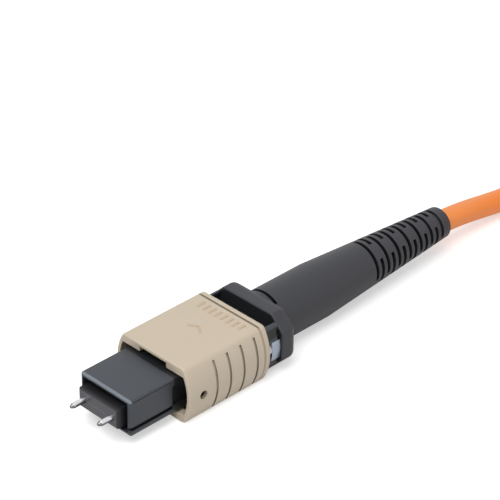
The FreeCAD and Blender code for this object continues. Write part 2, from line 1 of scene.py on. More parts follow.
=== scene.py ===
"""Male multi-fibre push-on connector on a round orange cable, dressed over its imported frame.

The plug lies along X with its polished end face at the origin, the key is underneath and the cable
leaves to +X. Everything is in metres, and most sizes are written in millimetres times MM.
"""
import math

import bmesh
import bpy
from bpy.props import FloatProperty, FloatVectorProperty, IntProperty, PointerProperty
from mathutils import Matrix, Vector
from mathutils.geometry import intersect_point_line


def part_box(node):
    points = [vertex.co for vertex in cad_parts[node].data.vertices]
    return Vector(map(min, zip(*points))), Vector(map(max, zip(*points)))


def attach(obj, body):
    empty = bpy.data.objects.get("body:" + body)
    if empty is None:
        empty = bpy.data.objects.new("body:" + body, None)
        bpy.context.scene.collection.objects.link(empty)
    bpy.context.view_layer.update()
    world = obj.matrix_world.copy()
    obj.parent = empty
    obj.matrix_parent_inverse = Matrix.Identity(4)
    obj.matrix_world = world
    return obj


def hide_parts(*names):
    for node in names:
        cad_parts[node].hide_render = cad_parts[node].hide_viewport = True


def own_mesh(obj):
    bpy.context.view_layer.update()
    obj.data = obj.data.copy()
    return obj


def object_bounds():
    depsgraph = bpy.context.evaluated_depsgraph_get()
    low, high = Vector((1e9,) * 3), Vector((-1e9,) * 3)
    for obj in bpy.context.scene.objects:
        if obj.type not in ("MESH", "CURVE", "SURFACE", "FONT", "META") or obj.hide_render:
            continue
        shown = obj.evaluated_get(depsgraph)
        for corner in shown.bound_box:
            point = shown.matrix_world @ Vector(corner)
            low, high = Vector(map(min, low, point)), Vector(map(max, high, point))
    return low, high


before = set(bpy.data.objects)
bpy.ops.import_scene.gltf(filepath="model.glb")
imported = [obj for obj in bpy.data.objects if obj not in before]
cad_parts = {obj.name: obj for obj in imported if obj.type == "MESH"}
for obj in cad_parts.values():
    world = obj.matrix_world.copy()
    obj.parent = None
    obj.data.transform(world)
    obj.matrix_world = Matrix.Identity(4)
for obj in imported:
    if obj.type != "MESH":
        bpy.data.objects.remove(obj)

bl_info = {
    "name": "Fibre plug dresser",
    "version": (1, 0, 0),
    "blender": (4, 5, 0),
    "location": "View3D > Sidebar > Fibre Plug",
    "description": "Gives a multi-fibre push-on plug its surfaces, springs, cable and studio",
    "category": "Object",
}

MM = 0.001
X_AXIS = Vector((1, 0, 0))
FRAME_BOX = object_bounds()
FLOOR_HEIGHT = FRAME_BOX[0][2]

# Rounding of edges
SHARP = math.radians(32)         # edges that fold by more are rounded and shaded as edges
FLAT = math.radians(0.4)         # faces that fold by less become one face
WELD = 0.02 * MM                 # corners of a CAD part nearer than this become one corner
SAME_PLACE = 1e-7                # corners of a new piece nearer than this become one corner
EDGE_FACETS = 2                  # across a rounded edge
SLIGHT_TURN = 0.7                # edges that turn by less, in radians, are rounded as one chain
# Greatest rounding, as a share of what lies beside the edge
UNLIMITED = 1.0                  # before anything is found there
GAP_TO_ROUNDED = 0.42            # of the gap to another edge that is rounded
GAP_TO_PLAIN = 0.85              # of the gap to an edge that stays as it is
OWN_LENGTH = 0.85                # of the edge's own length, where its ends draw in
SIDE_LENGTH = 0.45               # of the length of an edge that stays as it is at its end
LEAST_SINE = 0.25                # counted where such an edge runs almost straight on
STRAIGHT_AHEAD = 0.8             # cosine from which another edge lies across the face

# Surfaces
ZONE_BLUR = 0.04 * MM            # half the soft border of a painted zone
WHITE = (1, 1, 1, 1)
FIBRE_COLOURS = (
    (0.02, 0.10, 0.50),          # blue
    (0.90, 0.22, 0.02),          # orange
    (0.02, 0.30, 0.06),          # green
    (0.15, 0.06, 0.02),          # brown
    (0.20, 0.22, 0.24),          # slate
    (0.80, 0.80, 0.78),          # white
    (0.60, 0.02, 0.02),          # red
    (0.02, 0.02, 0.02),          # black
    (0.85, 0.65, 0.03),          # yellow
    (0.20, 0.04, 0.35),          # violet
    (0.85, 0.30, 0.35),          # rose
    (0.05, 0.55, 0.60),          # aqua
)
# Painted shade for the rear body's neck, which lies in shadow behind the grip sleeve.
NECK_SHADE = (0.008, 0.009, 0.010)

# Stage
CAMERA_PIVOT = Vector((27 * MM, 0, 0))     # what the camera stands round
AIM_RIGHT = -2.25 * MM                     # from the pivot to what the camera looks at
AIM_UP = 7.63 * MM
STAGE_MIDDLE = Vector((30 * MM, 0, 0))     # what the lamps shine on, and the paper's middle
KEY_LAMP = {"place": (-0.16, -0.06, 0.42), "size": 0.36}
FILL_LAMP = {"place": (0.02, -0.45, 0.16), "size": 0.30}
PAPER = (0.86, 0.86, 0.86, 1)
PAPER_GLOW = 0.5                           # seen by the camera alone
PAPER_SIZE = 3.0

# Cable, in millimetres: its line from the crimp to the hank
CABLE_RUN = ((32.0, 0, 0), (44.9, 0, -0.05), (58.2, 0, 0), (67.4, 0, -1.65), (70.0, 0.05, -2.05),
             (72.4, 0.85, -2.25), (75.1, 2.35, -2.25), (78.2, 3.75, -2.2), (81.5, 4.4, -2.15))
# Hank: middle of its near fold, points along each run and fold, and the moves between its turns
HANK_LAPS = 6
HANK_X = 84.0 * MM
HANK_Y = -7.0 * MM
HANK_LIFT = 0.2 * MM
FOLD_POINTS = 8
LEFT_SHARES = (0.04, 0.96)
RIGHT_SHARES = (0.04, 0.45, 0.7, 0.8, 0.9, 0.98)
LAST_SHARES = (0.04, 0.3)
# Each move: the laps at which it starts and ends, and how many pitches it goes
MOVES_OUT = ((0.88, 0.98, -1), (2.78, 2.88, 1), (4.68, 4.78, -1), (5.78, 5.9, 0.5))
MOVES_UP = ((1.83, 1.93, 1), (3.73, 3.83, 1), (5.62, 5.74, 0.92))


def length(name, description, default_mm):
    return FloatProperty(name=name, description=description, default=default_mm * MM,
                         unit="LENGTH", precision=5)


def bearing(name, description, degrees):
    return FloatProperty(name=name, description=description, default=math.radians(degrees),
                         subtype="ANGLE")


def colour(name, description, default):
    return FloatVectorProperty(name=name, description=description, default=default, size=3,
                               subtype="COLOR", min=0.0, max=1.0)


# --- settings -----------------------------------------------------------------------------------
class PlugSizes(bpy.types.PropertyGroup):
    """Wires and roundings"""
    wire_segments: IntProperty(name="Wire segments", description="Sides of a spring wire",
                               default=12, min=6)
    grip_wire: length("Grip spring wire", "Wire of the two springs behind the grip sleeve", 0.26)
    ferrule_wire: length("Ferrule spring wire", "Wire of the spring behind the ferrule", 0.4)
    hard_edge: length("Hard edge", "Rounding of moulded edges on the plug body", 0.07)
    grip_edge: length("Grip edge", "Rounding of the grip sleeve's edges", 0.09)
    boot_edge: length("Boot edge", "Rounding of the boot's slots and end", 0.05)
    collar_edge: length("Collar edge", "Rounding of the boot's collar", 0.24)
    fine_edge: length("Fine edge", "Rounding of the small parts' edges", 0.03)
    mark_height: length("Mark height", "How far the marks stand out of the grip sleeve", 0.09)


class PlugColours(bpy.types.PropertyGroup):
    """Colours of the materials"""
    beige: colour("Beige", "Grip sleeve", (0.60, 0.51, 0.395))
    black: colour("Black", "Plug body and rear body", (0.041, 0.047, 0.058))
    boot: colour("Boot", "Bend boot", (0.030, 0.031, 0.038))
    orange: colour("Orange", "Cable jacket", (1.0, 0.312, 0.080))
    ferrule: colour("Ferrule", "Ferrule", (0.070, 0.069, 0.080))
    strap: colour("Strap", "Straps of the hank", (0.030, 0.031, 0.035))
    steel: colour("Steel", "Pins and springs", (0.72, 0.73, 0.75))


class CableSizes(bpy.types.PropertyGroup):
    """The cable and its hank"""
    diameter: length("Diameter", "Outside of the jacket", 2.9)
    whole: length("Length", "Length of the cable from the crimp to its cut end", 970.0)
    pitch: length("Pitch", "From turn to turn of the hank", 2.95)
    fold_radius: length("Fold radius", "Innermost turn at the ends of the hank", 8.7)
    hank_run: length("Hank run", "Straight part of the hank", 43.5)


class StageSettings(bpy.types.PropertyGroup):
    """The camera and the light"""
    azimuth: bearing("Azimuth", "Camera round Z", -45.26)
    elevation: bearing("Elevation", "Camera over the floor", 33.99)
    roll: bearing("Roll", "Camera about its own axis", 0.77)
    distance: length("Distance", "From the middle of the plug to the camera", 300.0)
    lens: FloatProperty(name="Lens", description="Focal length", default=183.4,
                        subtype="DISTANCE_CAMERA")
    key_power: FloatProperty(name="Key power", description="Large lamp overhead",
                             default=1.6, unit="POWER")
    fill_power: FloatProperty(name="Fill power", description="Lamp on the camera's side",
                              default=0.03, unit="POWER")
    room_light: FloatProperty(name="Room light", description="Strength of the room's own light",
                              default=0.36, subtype="FACTOR")


SETTINGS = {
    "plug_sizes": PlugSizes,
    "plug_colours": PlugColours,
    "plug_cable": CableSizes,
    "plug_stage": StageSettings,
}


# --- materials ----------------------------------------------------------------------------------
class Value:
    """A number or colour in a node tree. Python's operators add the maths nodes."""

    def __init__(self, nodes, socket):
        self.nodes = nodes
        self.socket = socket

    def __add__(self, other):
        return self.nodes.maths("ADD", self, other)

    def __sub__(self, other):
        return self.nodes.maths("SUBTRACT", self, other)

    def __rsub__(self, other):
        return self.nodes.maths("SUBTRACT", other, self)

    def __mul__(self, other):
        return self.nodes.maths("MULTIPLY", self, other)

    __radd__ = __add__
    __rmul__ = __mul__


class Nodes:
    """A node tree under construction, of a material or of the room."""

    def __init__(self, owner):
        owner.use_nodes = True
        self.tree = owner.node_tree
        self.tree.nodes.clear()

    def node(self, kind, settings=None, sockets=None, output=0):
        """Add a shader node, set it up, connect it, and give one of its outputs."""
        node = self.tree.nodes.new("ShaderNode" + kind)
        node.location = (len(self.tree.nodes) * 190, 0)
        for key, setting in (settings or {}).items():
            if key == "stripes":
                self.set_stripes(node.color_ramp, setting)
            else:
                setattr(node, key, setting)
        for key, value in (sockets or {}).items():
            if isinstance(value, Value):
                self.tree.links.new(value.socket, node.inputs[key])
            else:
                node.inputs[key].default_value = value
        return Value(self, node.outputs[output]) if node.outputs else node

    def maths(self, operation, first, second=0.0):
        return self.node("Math", {"operation": operation}, {0: first, 1: second})

    def set_stripes(self, ramp, shades):
        """Even stripes of some colours, side by side."""
        ramp.interpolation = "CONSTANT"
        while len(ramp.elements) < len(shades):
            ramp.elements.new(1.0)
        for index, (element, shade) in enumerate(zip(ramp.elements, shades)):
            element.position = index / len(shades)
            element.color = (*shade, 1.0)


class Finish(Nodes):
    """A material under construction."""

    def __init__(self, name):
        self.material = bpy.data.materials.new(name)
        super().__init__(self.material)
        self.place = self.node("TexCoord", output="Object")

    def axis(self, letter):
        """Distance along X, Y or Z."""
        return self.node("SeparateXYZ", {}, {"Vector": self.place}, output=letter)

    def zone(self, ranges):
        """1 where each named axis is within its range in millimetres, softly, and 0 elsewhere."""
        share = 1.0
        for letter, (start, end) in ranges.items():
            middle, half = (start + end) / 2 * MM, (end - start) / 2 * MM
            away = self.maths("ABSOLUTE", self.axis(letter) - middle)
            limits = {"Value": away, "From Min": half + ZONE_BLUR, "From Max": half - ZONE_BLUR}
            share *= self.node("MapRange", {"interpolation_type": "SMOOTHSTEP"}, limits)
        return share

    def painted(self, paint, zones):
        """Paint with zones of painted light and shade laid over it, each a pair of ranges and a
        colour.
        """
        for ranges, shade in zones:
            paint = self.mix(self.zone(ranges), paint, rgba(shade))
        return paint

    def closeness(self, reach, inside=False):
        """1 deep in narrow gaps, or from inside on outer edges, and 0 on open faces."""
        free = self.node("AmbientOcclusion", {"samples": 8, "inside": inside, "only_local": True},
                         {"Distance": reach}, output="AO")
        return 1 - free

    def noise(self, size, detail=2.0, stretch=(1, 1, 1)):
        """Soft noise from 0 to 1 whose lumps are about size across."""
        place = self.node("Mapping", {}, {"Vector": self.place, "Scale": stretch})
        return self.node("TexNoise", {}, {"Vector": place, "Scale": 1 / size, "Detail": detail})

    def mix(self, share, first, second):
        """Blend of two colours."""
        return self.node("Mix", {"data_type": "RGBA"}, {0: share, 6: first, 7: second}, output=2)

    def bump(self, height, depth):
        """Normal of a surface whose relief is depth deep, for a height from 0 to 1."""
        return self.node("Bump", {}, {"Height": height, "Distance": depth, "Strength": 1.0})

    def surface(self, **sockets):
        """Finish with a plain surface shader. Its sockets' names have underscores for spaces."""
        named = {key.replace("_", " "): value for key, value in sockets.items()}
        shader = self.node("BsdfPrincipled", {}, named)
        self.node("OutputMaterial", {}, {"Surface": shader})
        return self.material


def rgba(shade, factor=1.0):
    """Colour with an alpha, lighter or darker by a factor."""
    return (*(min(1.0, value * factor) for value in shade), 1.0)


def moulded(name, shade, rough=0.42, grain=0.05 * MM, depth=0.004 * MM, vary=0.06,
            gap_shade=(0.4 * MM, 0.5), edge_wear_and_highlight=(0.12 * MM, 1.5), zones=()):
    """Moulded plastic: spark-eroded grain, wandering colour and gloss, painted shade in gaps, outer
    edges lightened by wear and painted highlight, and zones of painted light and shade.

    The gap shade and the edge wear and highlight are each a reach and a factor on the colour.
    """
    gap_shade_reach, gap_shade_factor = gap_shade
    wear_highlight_reach, wear_highlight_factor = edge_wear_and_highlight
    finish = Finish(name)
    slow = finish.noise(6 * MM, detail=3.0)
    fine = finish.noise(grain, detail=3.0)
    # Painted shade deep in narrow gaps; outer edges lightened as painted highlight and as wear.
    worn_and_lit = finish.closeness(wear_highlight_reach, inside=True) * (slow + 0.3)
    gaps = finish.closeness(gap_shade_reach) * 1.3
    paint = finish.mix(slow, rgba(shade, 1 - vary), rgba(shade, 1 + vary))
    paint = finish.mix(fine * 0.12, paint, rgba(shade, 1.6))
    paint = finish.mix(worn_and_lit, paint, rgba(shade, wear_highlight_factor))
    paint = finish.painted(paint, zones)
    paint = finish.mix(gaps, paint, rgba(shade, gap_shade_factor))
    gloss = slow * 0.12 + fine * 0.08 - worn_and_lit * 0.15 + (rough - 0.1)
    return finish.surface(Base_Color=paint, Roughness=gloss, Normal=finish.bump(fine, depth))


def drawn_metal(name, shade, rough=0.24, stretch=(1, 1, 1), underside=1.0, zones=()):
    """Drawn or ground metal with fine lines, darker by a factor towards its underside as painted
    shade, with zones of painted light and shade laid over.
    """
    finish = Finish(name)
    lines = finish.noise(0.04 * MM, stretch=stretch)
    slow = finish.noise(1.5 * MM)
    # Painted shade: the colour darkens by the underside factor towards the bottom.
    heights = {"Value": finish.axis("Z"), "From Min": -0.06 * MM, "From Max": 0.16 * MM}
    above = finish.node("MapRange", {}, heights)
    paint = finish.mix(slow, rgba(shade, 0.86), rgba(shade, 1.08))
    paint = finish.mix(above, rgba(shade, underside), paint)
    paint = finish.painted(paint, zones)
    return finish.surface(Base_Color=paint, Metallic=1.0, Roughness=lines * 0.2 + (rough - 0.08),
                          Normal=finish.bump(lines, 0.001 * MM))


def woven(name, shade, thread):
    """Webbing whose threads run along X, over and under threads that go round the bundle."""
    finish = Finish(name)
    wave = math.tau / thread
    along = finish.maths("SINE", finish.axis("X") * wave)
    around = finish.maths("SINE", (finish.axis("Y") + finish.axis("Z")) * wave)
    weave = along * around * 0.5 + 0.5
    fluff = finish.noise(0.12 * MM, detail=3.0)
    paint = finish.mix(weave * 0.6 + fluff * 0.4, rgba(shade, 0.55), rgba(shade, 1.7))
    return finish.surface(Base_Color=paint, Roughness=fluff * 0.15 + 0.75,
                          Normal=finish.bump(weave, 0.05 * MM))


def striped(name, width, rough):
    """The twelve fibre colours side by side across Y, each as glossy lacquer."""
    finish = Finish(name)
    place = finish.axis("Y") * (1 / width) + 0.5
    paint = finish.node("ValToRGB", {"stripes": FIBRE_COLOURS}, {"Fac": place})
    cloud = finish.noise(0.8 * MM, stretch=(0.2, 1, 1))
    paint = finish.mix(cloud * 0.25, paint, (0.72, 0.74, 0.76, 1))
    return finish.surface(Base_Color=paint, Roughness=cloud * 0.1 + rough,
                          Normal=finish.bump(cloud, 0.02 * MM))


def stranded(name, shade, size):
    """Fine yarn or resin streaks along X."""
    finish = Finish(name)
    strands = finish.noise(size, detail=3.0, stretch=(0.04, 1, 1))
    paint = finish.mix(strands, rgba(shade, 0.6), rgba(shade, 1.35))
    return finish.surface(Base_Color=paint, Roughness=strands * 0.3 + 0.4,
                          Normal=finish.bump(strands, 0.04 * MM))


def lacquered(name):
    """Fibres at the cable's cut end, each in its own colour."""
    finish = Finish(name)
    cloud = finish.noise(0.1 * MM)
    paint = finish.node("Attribute", {"attribute_name": "fibre_colour"}, output="Color")
    paint = finish.mix(cloud * 0.3, paint, (0.8, 0.8, 0.8, 1))
    return finish.surface(Base_Color=paint, Roughness=cloud * 0.2 + 0.2)


def glassy(name):
    """Polished ends of the fibres in the ferrule's face."""
    finish = Finish(name)
    cloud = finish.noise(0.03 * MM)
    paint = finish.mix(cloud, (0.14, 0.15, 0.16, 1), (0.24, 0.26, 0.27, 1))
    return finish.surface(Base_Color=paint, Roughness=0.08)


# --- shapes -------------------------------------------------------------------------------------
def piece(name, bm, body, material, slot, *nodes):
    """Make an object of a bmesh, in its place, riding on a body."""
    mesh = bpy.data.meshes.new(name)
    bmesh.ops.remove_doubles(bm, verts=bm.verts, dist=SAME_PLACE)
    bmesh.ops.recalc_face_normals(bm, faces=bm.faces)
    bm.to_mesh(mesh)
    bm.free()
    return finished(bpy.data.objects.new(name, mesh), body, material, slot, *nodes)


def finished(thing, body, material, slot, *nodes):
    """Link, smooth, paint and place an object that stands for some nodes."""
    bpy.context.collection.objects.link(thing)
    if thing.type == "MESH":
        thing.data.polygons.foreach_set("use_smooth", [True] * len(thing.data.polygons))
        thing.data.set_sharp_from_angle(angle=SHARP)
    thing.data.materials.append(material)
    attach(thing, body)
    if nodes:
        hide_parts(*nodes)
    return thing


def refined(node, name, body, material, slot, edge, fine=None, seam=0.0):
    """A CAD part with softened edges, which stands for its node.

    The rounding is edge before the seam on X, and fine from there on.
    """
    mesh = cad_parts[node].data.copy()
    for attribute in [a for a in mesh.attributes if a.name == "custom_normal"]:
        mesh.attributes.remove(attribute)
    mesh.materials.clear()
    bm = bmesh.new()
    bm.from_mesh(mesh)
    bpy.data.meshes.remove(mesh)
    bmesh.ops.remove_doubles(bm, verts=bm.verts, dist=WELD)
    bmesh.ops.dissolve_limit(bm, angle_limit=FLAT, verts=bm.verts, edges=bm.edges)
    bmesh.ops.connect_verts_concave(bm, faces=bm.faces)
    weigh_edges(bm, edge, edge if fine is None else fine, seam)
    thing = piece(name, bm, body, material, slot, node)
    soften = thing.modifiers.new("Softened edges", "BEVEL")
    soften.width = edge
    soften.segments = EDGE_FACETS
    soften.limit_method = "WEIGHT"
    soften.harden_normals = True
    soften.use_clamp_overlap = False
    return thing


def weigh_edges(bm, width, fine, seam):
    """Mark the sharp edges for rounding, less where the faces beside them leave little room."""
    weight = bm.edges.layers.float.new("bevel_weight_edge")
    sharp = {edge for edge in bm.edges if edge.is_manifold and edge.calc_face_angle() > SHARP}
    room = {edge: min(face_room(loop, sharp) for loop in edge.link_loops) for edge in sharp}
    while sharp:
        chain = [sharp.pop()]
        for edge in chain:
            chain += [other for other in next_in_line(edge) if other in sharp]
            sharp.difference_update(chain)
        wide = all(vert.co.x < seam for edge in chain for vert in edge.verts)
        least = min([width if wide else fine] + [room[edge] for edge in chain])
        for edge in chain:
            edge[weight] = least / width


def next_in_line(edge):
    """Edges that carry on from an edge with no more than a slight turn."""
    for vert in edge.verts:
        back = edge.other_vert(vert).co - vert.co
        for other in vert.link_edges:
            onward = other.other_vert(vert).co - vert.co
            if other is not edge and onward.angle(back, 0) > math.pi - SLIGHT_TURN:
                yield other


def face_room(loop, sharp):
    """Greatest rounding of an edge that the face on one side of it takes without folding over."""
    start, end = loop.vert.co, loop.link_loop_next.vert.co
    along = (end - start).normalized()
    inward = loop.face.normal.cross(along)
    room, shrink = UNLIMITED, 0.0
    next_loop = loop.link_loop_next
    for corner, beside in ((loop, loop.link_loop_prev), (next_loop, next_loop)):
        angle = corner.calc_angle() if corner.is_convex else math.tau - corner.calc_angle()
        if beside.edge in sharp:
            shrink += 1 / math.tan(angle / 2)
        else:
            shrink += max(0.0, math.cos(angle))
            sine = max(LEAST_SINE, abs(math.sin(angle)))
            room = min(room, beside.edge.calc_length() * sine * SIDE_LENGTH)
    if shrink > 0:
        room = min(room, OWN_LENGTH * (end - start).length / shrink)
    for other in loop.face.loops:
        if other.edge is loop.edge:
            continue
        share = GAP_TO_ROUNDED if other.edge in sharp else GAP_TO_PLAIN
        first, last = other.vert.co, other.link_loop_next.vert.co
        for point in (start, (start + end) / 2, end):
            part = intersect_point_line(point, first, last)[1]
            gap = first.lerp(last, max(0.0, min(1.0, part))) - point
            if gap.dot(inward) > STRAIGHT_AHEAD * gap.length > 0:
                room = min(room, gap.length * share)
    return room


def edges_of(bm, verts):
    """Edges of a shape that has just been made of some corners."""
    return [edge for edge in bm.edges if edge.verts[0] in verts]


def rounded(bm, edges, size):
    """Round some edges of a shape."""
    bmesh.ops.bevel(bm, geom=edges, offset=size, segments=EDGE_FACETS, profile=0.5,
                    affect="EDGES", material=-1)


def block(bm, centre, size, edge, turn=0.0):
    """Box with rounded edges, turned about Z."""
    turned = Matrix.Rotation(turn, 4, "Z") @ Matrix.Diagonal((*size, 1))
    cube = bmesh.ops.create_cube(bm, size=1.0, matrix=Matrix.Translation(centre) @ turned)
    rounded(bm, edges_of(bm, cube["verts"]), edge)


def lathed(bm, profile, centre, steps=32):
    """Turn a profile of (x, r) points into a closed round shape about a line along X."""
    verts = [bm.verts.new(centre + Vector((x, 0, r))) for x, r in profile]
    edges = [bm.edges.new(pair) for pair in zip(verts, verts[1:])]
    bmesh.ops.spin(bm, geom=verts + edges, cent=centre, axis=X_AXIS, angle=math.tau, steps=steps,
                   use_merge=True)


def wound(bm, start, end, y, outer, wire, turns, closed, segments):
    """Coil of round wire between two seats on X, with closed turns at each of its ends."""
    steps_a_turn = 24
    radius = (outer - wire) / 2
    seat = Matrix.Translation((start + wire / 2, y + radius, 0))
    circle = bmesh.ops.create_circle(bm, segments=segments, radius=wire / 2, matrix=seat)
    ring = edges_of(bm, circle["verts"])
    bmesh.ops.edgeloop_fill(bm, edges=ring)
    closed_pitch = wire * 1.02
    free_pitch = (end - start - wire - 2 * closed * closed_pitch) / turns
    for pitch, count in ((closed_pitch, closed), (free_pitch, turns), (closed_pitch, closed)):
        steps = round(steps_a_turn * count)
        swept = bmesh.ops.spin(bm, geom=ring, cent=(0, y, 0), axis=X_AXIS, steps=steps,
                               angle=math.tau * steps / steps_a_turn,
                               dvec=(pitch / steps_a_turn, 0, 0))
        ring = [part for part in swept["geom_last"] if isinstance(part, bmesh.types.BMEdge)]
    bmesh.ops.edgeloop_fill(bm, edges=ring)


# --- operators ----------------------------------------------------------------------------------
class PieceOperator(bpy.types.Operator):
    """Base of the operators, which hands each one the scene's settings"""
    bl_options = {"REGISTER", "UNDO"}

    def execute(self, context):
        scene = context.scene
        self.make(scene.plug_sizes, scene.plug_colours, scene)
        return {"FINISHED"}


class PLUG_OT_stage(PieceOperator):
    """Set up the camera, the lamps, the room and the floor"""
    bl_idname = "plug.stage"
    bl_label = "Stage"

    def make(self, sizes, colours, scene):
        stage = scene.plug_stage
        scene.view_settings.view_transform = "Standard"
        self.camera(stage, scene)
        self.lamp("Key", power=stage.key_power, **KEY_LAMP)
        self.lamp("Fill", power=stage.fill_power, **FILL_LAMP)
        self.room(stage.room_light, scene)
        self.floor()

    def camera(self, stage, scene):
        """Camera over the plug's front corner, rolled a little and aimed past the plug's middle."""
        azimuth, elevation, roll = stage.azimuth, stage.elevation, stage.roll
        flat = math.cos(elevation)
        back = Vector((math.sin(azimuth) * flat, -math.cos(azimuth) * flat, math.sin(elevation)))
        level = Vector((math.cos(azimuth), math.sin(azimuth), 0))
        upright = back.cross(level)
        right = level * math.cos(roll) + upright * math.sin(roll)
        up = upright * math.cos(roll) - level * math.sin(roll)
        place = CAMERA_PIVOT + back * stage.distance
        aim = CAMERA_PIVOT + right * AIM_RIGHT + up * AIM_UP
        out = (place - aim).normalized()
        side = up.cross(out).normalized()
        turn = Matrix((side, out.cross(side), out)).transposed().to_4x4()
        camera = bpy.data.objects.new("Camera", bpy.data.cameras.new("Camera"))
        camera.data.lens = stage.lens
        camera.data.clip_start = 0.01
        camera.matrix_world = Matrix.Translation(place) @ turn
        scene.collection.objects.link(camera)
        scene.camera = camera

    def lamp(self, name, place, size, power):
        """Square lamp that shines on the plug."""
        light = bpy.data.lights.new(name, "AREA")
        light.energy = power
        light.size = size
        lamp = bpy.data.objects.new(name, light)
        lamp.location = place
        lamp.rotation_euler = (Vector(place) - STAGE_MIDDLE).to_track_quat("Z", "Y").to_euler()
        bpy.context.collection.objects.link(lamp)

    def room(self, strength, scene):
        """Even light, and a full white where the camera or a glossy surface sees the room."""
        world = bpy.data.worlds.new("Room")
        nodes = Nodes(world)
        camera, gloss, glass = (nodes.node("LightPath", output=f"Is {kind} Ray")
                                for kind in ("Camera", "Glossy", "Transmission"))
        seen = nodes.maths("MAXIMUM", nodes.maths("MAXIMUM", camera, gloss), glass)
        level = nodes.node("MapRange", {}, {"Value": seen, "To Min": strength, "To Max": 1.0})
        background = nodes.node("Background", {}, {"Color": WHITE, "Strength": level})
        nodes.node("OutputWorld", {}, {"Surface": background})
        scene.world = world

    def floor(self):
        """White paper under the object that keeps its shadow."""
        finish = Finish("Floor paper")
        rays = finish.node("LightPath", output="Is Camera Ray")
        paper = finish.node("BsdfDiffuse", {}, {"Color": PAPER})
        glow = finish.node("Emission", {}, {"Color": WHITE, "Strength": rays * PAPER_GLOW})
        both = finish.node("AddShader", {}, {0: paper, 1: glow})
        finish.node("OutputMaterial", {}, {"Surface": both})
        bm = bmesh.new()
        level = Matrix.Translation((STAGE_MIDDLE.x, 0, FLOOR_HEIGHT))
        bmesh.ops.create_grid(bm, x_segments=1, y_segments=1, size=PAPER_SIZE, matrix=level)
        mesh = bpy.data.meshes.new("Floor")
        bm.to_mesh(mesh)
        bm.free()
        mesh.materials.append(finish.material)
        floor = bpy.data.objects.new("Floor", mesh)
        bpy.context.collection.objects.link(floor)


class PLUG_OT_cable(PieceOperator):
    """Lay the cable from the crimp through the boot to its hank, with the straps and the cut end"""
    bl_idname = "plug.cable"
    bl_label = "Cable"

    def make(self, sizes, colours, scene):
        cable = scene.plug_cable
        points = self.route(cable)
        jacket = moulded("Orange jacket", colours.orange, rough=0.45, grain=0.06 * MM,
                         depth=0.003 * MM, vary=0.03, gap_shade=(0.3 * MM, 0.8), edge_wear_and_highlight=(0.05 * MM, 1.0))
        curve = bpy.data.curves.new("cable", "CURVE")
        curve.dimensions = "3D"
        curve.bevel_depth = cable.diameter / 2
        curve.bevel_resolution = 12
        curve.resolution_u = 10
        curve.use_fill_caps = True
        spline = curve.splines.new("NURBS")
        spline.points.add(len(points) - 1)
        for point, place in zip(spline.points, points):
            point.co = (*place, 1.0)
        spline.order_u = 3
        spline.use_endpoint_u = True
        run = finished(bpy.data.objects.new("cable", curve), "plug", jacket, "jacket_orange",
                       "cable_jacket", "cable_hank")
        extras = self.straps(sizes, colours) + self.cut_end(points[-1])

    def straps(self, sizes, colours):
        """Two woven straps round the hank's sides, each with the end that laps over it on top."""
        webbing = woven("Strap webbing", colours.strap, thread=0.5 * MM)
        lap_width, lap_thickness, lap_lift = 3.6 * MM, 0.3 * MM, 0.1 * MM
        pieces = []
        for node, name in (("hank_tie_left", "strap_left"), ("hank_tie_right", "strap_right")):
            pieces.append(refined(node, name, "plug", webbing, "tie_fabric", sizes.fine_edge))
            low, high = (Vector(corner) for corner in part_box(node))
            middle = (low + high) / 2
            middle.z = high.z + lap_lift
            bm = bmesh.new()
            block(bm, middle, (high.x - low.x, lap_width, lap_thickness), sizes.grip_edge)
            pieces.append(piece(name + "_lap", bm, "plug", webbing, "tie_fabric"))
        return pieces

    def cut_end(self, end):
        """Yarn and the twelve fibres in the face of the cable where it is cut off."""
        core, tip = 0.95 * MM, 0.125 * MM
        outer_ring, inner_ring = (9, 0.50 * MM), (3, 0.17 * MM)
        bm = bmesh.new()
        lathed(bm, [(-0.4 * MM, 0), (-0.4 * MM, core), (0.02 * MM, core), (0.06 * MM, core * 0.9),
                    (0.05 * MM, 0)], end)
        look = stranded("Cut yarn", (0.72, 0.58, 0.16), 0.05 * MM)
        yarn = piece("cut_yarn", bm, "plug", look, "yarn")
        bm = bmesh.new()
        shades = bm.loops.layers.float_color.new("fibre_colour")
        profile = [(-0.3 * MM, 0), (-0.3 * MM, tip), (0.13 * MM, tip), (0.15 * MM, tip * 0.8),
                   (0.15 * MM, 0)]
        for index, shade in enumerate(FIBRE_COLOURS):
            count, radius = outer_ring if index < outer_ring[0] else inner_ring
            angle = math.tau * index / count
            old = set(bm.faces)
            lathed(bm, profile, end + Vector((0, math.cos(angle), math.sin(angle))) * radius, 12)
            for face in set(bm.faces) - old:
                for loop in face.loops:
                    loop[shades] = (*shade, 1.0)
        return [yarn, piece("cut_fibres", bm, "plug", lacquered("Fibre lacquer"), "fibres")]

    def route(self, cable):
        """Points of the cable's line: the run to the hank, then the hank's turns."""
        points = [Vector(place) * MM for place in CABLE_RUN]
        folds = [(index + 0.5) / FOLD_POINTS for index in range(FOLD_POINTS)]
        for lap in range(HANK_LAPS):
            for quarter, shares in enumerate((LEFT_SHARES, folds, RIGHT_SHARES, folds)):
                points += [hank_point(cable, lap, quarter, share) for share in shares]
        return points + [hank_point(cable, HANK_LAPS, 0, share) for share in LAST_SHARES]


def moved(done, moves):
    """Pitches gone after some laps, each move as a smooth step."""
    total = 0.0
    for start, end, pitches in moves:
        share = max(0.0, min(1.0, (done - start) / (end - start)))
        total += share * share * (3 - 2 * share) * pitches
    return total


